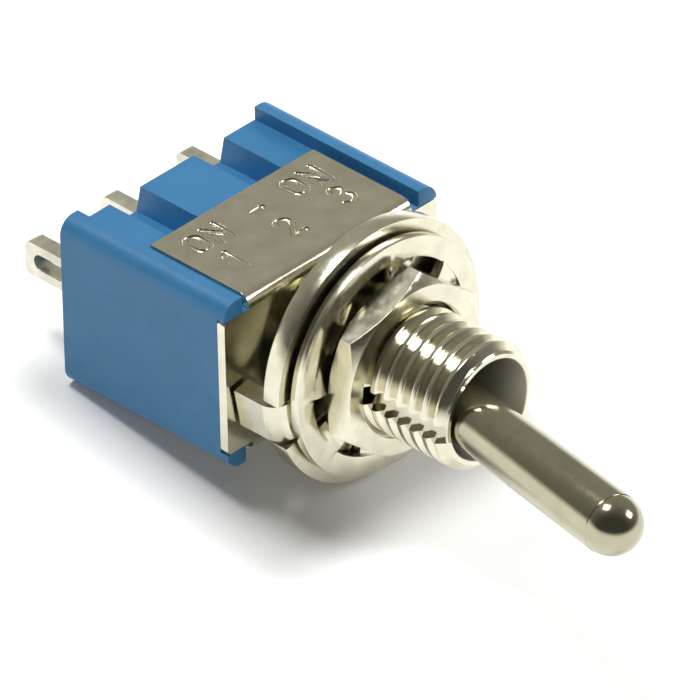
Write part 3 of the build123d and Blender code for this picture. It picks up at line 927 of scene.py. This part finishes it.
class TOGGLE_OT_washers(bpy.types.Operator):
    """Round the edges of the locating ring, cut the toothed washer and plate them"""

    bl_idname = "toggle_switch.washers"
    bl_label = "Ring and toothed washer"

    def execute(self, context):
        settings = context.scene.toggle_switch
        shape = settings.shape
        finish = settings.finish
        nickel = plated("plated washers", finish.nickel, finish.nickel_roughness)
        softened_copy("locating_ring", "keyed_ring", shape.sheet_edge, nickel, ROOT, "plated_steel")
        mesh = self.washer_mesh("toothed_washer", shape)
        piece = new_piece("toothed_washer", mesh, nickel, ROOT, "plated_steel", "lock_washer")
        weight_normals(piece)
        return {"FINISHED"}

    def washer_mesh(self, name, shape):
        """An annulus with teeth that twist more and more towards the thread."""
        low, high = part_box("lock_washer")
        middle = Vector((0, (low.y + high.y) / 2, 0))
        half = shape.washer_thickness / 2
        root = high.z - shape.washer_rim
        section = [(-half, root), (-half, high.z), (half, high.z), (half, root)]
        band = turned(section, middle, Vector((0, -1, 0)), shape.round_steps, looped=True)
        teeth = bmesh.new()
        for index in range(shape.washer_teeth):
            angle = shape.washer_turn + 2 * pi * index / shape.washer_teeth
            self.add_tooth(teeth, middle, angle, root, half * TOOTH_THINNING)
        washer = helper_solid("band", band)
        combine(washer, "UNION", helper_solid("teeth", teeth))
        bm = bmesh.new()
        bm.from_mesh(washer.data)
        bpy.data.objects.remove(washer)
        round_edges(bm, shape.sheet_edge, fold_angle=radians(35))
        return finish_mesh(bm, name, sharp_angle=radians(50))

    def add_tooth(self, bm, middle, angle, root, half):
        """One tooth, skinned over its sections from inside the band to the thread."""
        outward = Vector((cos(angle), 0, sin(angle)))
        across = Vector((-sin(angle), 0, cos(angle)))
        forward = Vector((0, -1, 0))
        rows = []
        for depth, width, twist in TOOTH_SECTIONS:
            centre = middle + outward * (root - depth * MM)
            lean = radians(twist)
            side = (across * cos(lean) + forward * sin(lean)) * width * MM
            face = (forward * cos(lean) - across * sin(lean)) * half
            rows.append([
                centre - side - face, centre + side - face, centre + side + face, centre - side + face,
            ])
        ends = [[sum(row, Vector()) / 4] for row in (rows[0], rows[-1])]
        skin_rows(bm, [ends[0], *rows, ends[1]], looped=False)


class TOGGLE_OT_terminals(bpy.types.Operator):
    """Round the lugs, tin them and pour the sealing resin"""

    bl_idname = "toggle_switch.terminals"
    bl_label = "Lugs and resin"

    def execute(self, context):
        settings = context.scene.toggle_switch
        finish = settings.finish
        tinned = plated("tinned lugs", finish.tin, finish.tin_roughness, mottle=0.15)
        edge = settings.shape.sheet_edge
        for side in ("right", "left", "centre"):
            softened_copy(f"terminal_{side}", f"lug_{side}", edge, tinned, ROOT, "terminal_metal")
        give_material(moulded("sealing resin", finish.resin, roughness=0.3), "terminal_seal")
        return {"FINISHED"}


class TOGGLE_OT_mechanism(bpy.types.Operator):
    """Give the pieces inside the case their finishes"""

    bl_idname = "toggle_switch.mechanism"
    bl_label = "Mechanism"

    def execute(self, context):
        finish = context.scene.toggle_switch.finish
        give_material(
            plated("contact silver", finish.silver, roughness=0.28),
            "contact_blade", "moving_contact_right", "moving_contact_left",
            "fixed_contact_right", "fixed_contact_left", "blade_saddle",
        )
        steel = plated("spring steel", finish.spring_steel, roughness=0.25)
        give_material(steel, "lever_pin", "plunger_spring")
        give_material(moulded("plunger acetal", finish.acetal, roughness=0.4), "plunger")
        board = moulded("insulating board", finish.board, roughness=0.6, mottle=0.25)
        give_material(board, "insulating_washer")
        return {"FINISHED"}


class TOGGLE_OT_stage(bpy.types.Operator):
    """Lay the floor under the switch, light it and set up the camera"""

    bl_idname = "toggle_switch.stage"
    bl_label = "Floor, lights and camera"

    def execute(self, context):
        stage = context.scene.toggle_switch.stage
        self.lay_floor(stage)
        self.light_surround(context, stage)
        self.hang_lamp(context, "overhead", stage.overhead_power, stage.overhead_place, stage)
        self.hang_lamp(context, "front", stage.front_power, stage.front_place, stage)
        self.place_camera(context, stage)
        context.scene.view_settings.view_transform = "Standard"
        return {"FINISHED"}

    def lay_floor(self, stage):
        """The switch lies on its ring and on the back edge of its case."""
        clearance = 0.03 * MM
        foot = self.feet()[0]
        half = stage.floor_size / 2
        corners = [(-half, -half, 0), (half, -half, 0), (half, half, 0), (-half, half, 0)]
        mesh = bpy.data.meshes.new("floor")
        mesh.from_pydata(corners, [], [(0, 1, 2, 3)])
        mesh.materials.append(self.paper(stage))
        obj = bpy.data.objects.new("floor", mesh)
        bpy.context.scene.collection.objects.link(obj)
        obj.location = foot - Vector((0, 0, clearance))
        obj.rotation_euler = (self.slope(), 0, 0)

    def feet(self):
        """The points on which the ring and the case stand."""
        ring_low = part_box("locating_ring")[0]
        case_low, case_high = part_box("case")
        foot = Vector((0, ring_low.y + RING_THICKNESS, ring_low.z))
        return foot, Vector((0, case_high.y, case_low.z))

    def slope(self):
        """The slope of the floor under the ring's back edge and the case's back edge."""
        foot, heel = self.feet()
        return atan2(heel.z - foot.z, heel.y - foot.y)

    def paper(self, stage):
        """White paper that is seen, straight or in a mirror, a little lighter than it is."""
        surface = Surface("white paper")
        nodes = surface.nodes
        links = surface.links
        shader = surface.shader
        shader.inputs["Base Color"].default_value = (*stage.paper_colour, 1)
        shader.inputs["Roughness"].default_value = 0.9
        shader.inputs["Specular IOR Level"].default_value = 0.1
        glow = nodes.new("ShaderNodeEmission")
        links.new(self.lift(nodes, links, stage), glow.inputs["Strength"])
        path = nodes.new("ShaderNodeLightPath")
        seen = path.outputs["Is Camera Ray"]
        for ray in ("Is Glossy Ray", "Is Transmission Ray"):
            either = nodes.new("ShaderNodeMath")
            either.operation = "MAXIMUM"
            links.new(seen, either.inputs[0])
            links.new(path.outputs[ray], either.inputs[1])
            seen = either.outputs["Value"]
        add = nodes.new("ShaderNodeAddShader")
        mix = nodes.new("ShaderNodeMixShader")
        links.new(shader.outputs["BSDF"], add.inputs[0])
        links.new(glow.outputs["Emission"], add.inputs[1])
        links.new(seen, mix.inputs["Fac"])
        links.new(shader.outputs["BSDF"], mix.inputs[1])
        links.new(add.outputs["Shader"], mix.inputs[2])
        links.new(mix.outputs["Shader"], nodes["Material Output"].inputs["Surface"])
        return surface.material

    def lift(self, nodes, links, stage):
        """How far the paper is lightened: least under the switch and full away from it."""
        case_low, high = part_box("case")
        low = Vector((case_low.x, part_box("lock_washer")[0].y, case_low.z))
        distance = vector_chain(
            nodes, links, nodes.new("ShaderNodeNewGeometry").outputs["Position"],
            ("SUBTRACT", tuple((low + high) / 2)),
            ("ABSOLUTE",),
            ("SUBTRACT", tuple((high - low) / 2)),
            ("MAXIMUM", (0, 0, 0)),
            ("MULTIPLY", (1, 1, 0)),
            ("LENGTH",),
        )
        lift = map_range(nodes, 0, stage.lift_reach, stage.near_lift, stage.far_lift, "SMOOTHSTEP")
        links.new(distance, lift.inputs["Value"])
        return lift.outputs["Result"]

    def light_surround(self, context, stage):
        """A surround that is light at the horizon and, above it, lighter behind the switch than in front."""
        world = bpy.data.worlds.new("surround")
        context.scene.world = world
        world.use_nodes = True
        nodes = world.node_tree.nodes
        links = world.node_tree.links
        background = nodes["Background"]
        background.inputs["Color"].default_value = (*stage.surround_colour, 1)
        place = nodes.new("ShaderNodeTexCoord").outputs["Generated"]
        slope = self.slope()
        floor_normal = (0, -sin(slope), cos(slope))
        backward = (sqrt(0.5), sqrt(0.5), 0)
        front, back = -0.7, 0.85
        upper = map_range(nodes, front, back, stage.front_strength, stage.back_strength, "SMOOTHSTEP")
        fade = map_range(nodes, 0.0, stage.horizon_height, stage.horizon_strength, 0.0, "SMOOTHSTEP")
        for direction, node in ((floor_normal, fade), (backward, upper)):
            share = vector_chain(nodes, links, place, ("DOT_PRODUCT", direction))
            links.new(share, node.inputs["Value"])
        links.new(upper.outputs["Result"], fade.inputs["To Max"])
        links.new(fade.outputs["Result"], background.inputs["Strength"])

    def hang_lamp(self, context, name, power, place, stage):
        """A square soft lamp that faces the switch."""
        lamp = bpy.data.lights.new(name, "AREA")
        lamp.energy = power
        lamp.size = stage.lamp_size
        obj = bpy.data.objects.new(name, lamp)
        context.scene.collection.objects.link(obj)
        obj.location = place
        obj.rotation_euler = (-Vector(place)).to_track_quat("-Z", "Y").to_euler()

    def place_camera(self, context, stage):
        """The camera looks at the switch from above its lever's left side."""
        azimuth, elevation = stage.camera_azimuth, stage.camera_elevation
        back = Vector((sin(azimuth) * cos(elevation), -cos(azimuth) * cos(elevation), sin(elevation)))
        right = Vector((0, 0, 1)).cross(back).normalized()
        up = back.cross(right)
        rolled_right = right * cos(stage.camera_roll) + up * sin(stage.camera_roll)
        rolled_up = back.cross(rolled_right)
        matrix = Matrix((rolled_right, rolled_up, back)).transposed().to_4x4()
        matrix.translation = Vector(stage.camera_target) + back * stage.camera_distance
        camera = bpy.data.cameras.new("camera")
        camera.sensor_width = 36
        camera.lens = stage.camera_lens
        camera.clip_start = 0.01
        camera.clip_end = 10
        obj = bpy.data.objects.new("camera", camera)
        context.scene.collection.objects.link(obj)
        obj.matrix_world = matrix
        context.scene.camera = obj


# ---- panel and registration
OPERATORS = (
    TOGGLE_OT_case,
    TOGGLE_OT_frame,
    TOGGLE_OT_bushing,
    TOGGLE_OT_lever,
    TOGGLE_OT_nuts,
    TOGGLE_OT_washers,
    TOGGLE_OT_terminals,
    TOGGLE_OT_mechanism,
    TOGGLE_OT_stage,
)


class TOGGLE_PT_panel(bpy.types.Panel):
    """Lists the switch's operators and settings"""

    bl_idname = "TOGGLE_PT_panel"
    bl_label = "Toggle Switch"
    bl_space_type = "VIEW_3D"
    bl_region_type = "UI"
    bl_category = "Toggle Switch"

    def draw(self, context):
        settings = context.scene.toggle_switch
        for operator in OPERATORS:
            self.layout.operator(operator.bl_idname)
        for group in (settings.finish, settings.shape, settings.stage):
            box = self.layout.box()
            for name in group.__annotations__:
                box.prop(group, name)


CLASSES = (
    ToggleFinishSettings,
    ToggleShapeSettings,
    ToggleStageSettings,
    ToggleSettings,
    *OPERATORS,
    TOGGLE_PT_panel,
)


def register():
    for cls in CLASSES:
        bpy.utils.register_class(cls)
    bpy.types.Scene.toggle_switch = bpy.props.PointerProperty(type=ToggleSettings)


def unregister():
    del bpy.types.Scene.toggle_switch
    for cls in reversed(CLASSES):
        bpy.utils.unregister_class(cls)


def main():
    """Builds every piece in order."""
    register()
    for operator in OPERATORS:
        group, name = operator.bl_idname.split(".")
        getattr(getattr(bpy.ops, group), name)()


if __name__ == "__main__":
    main()
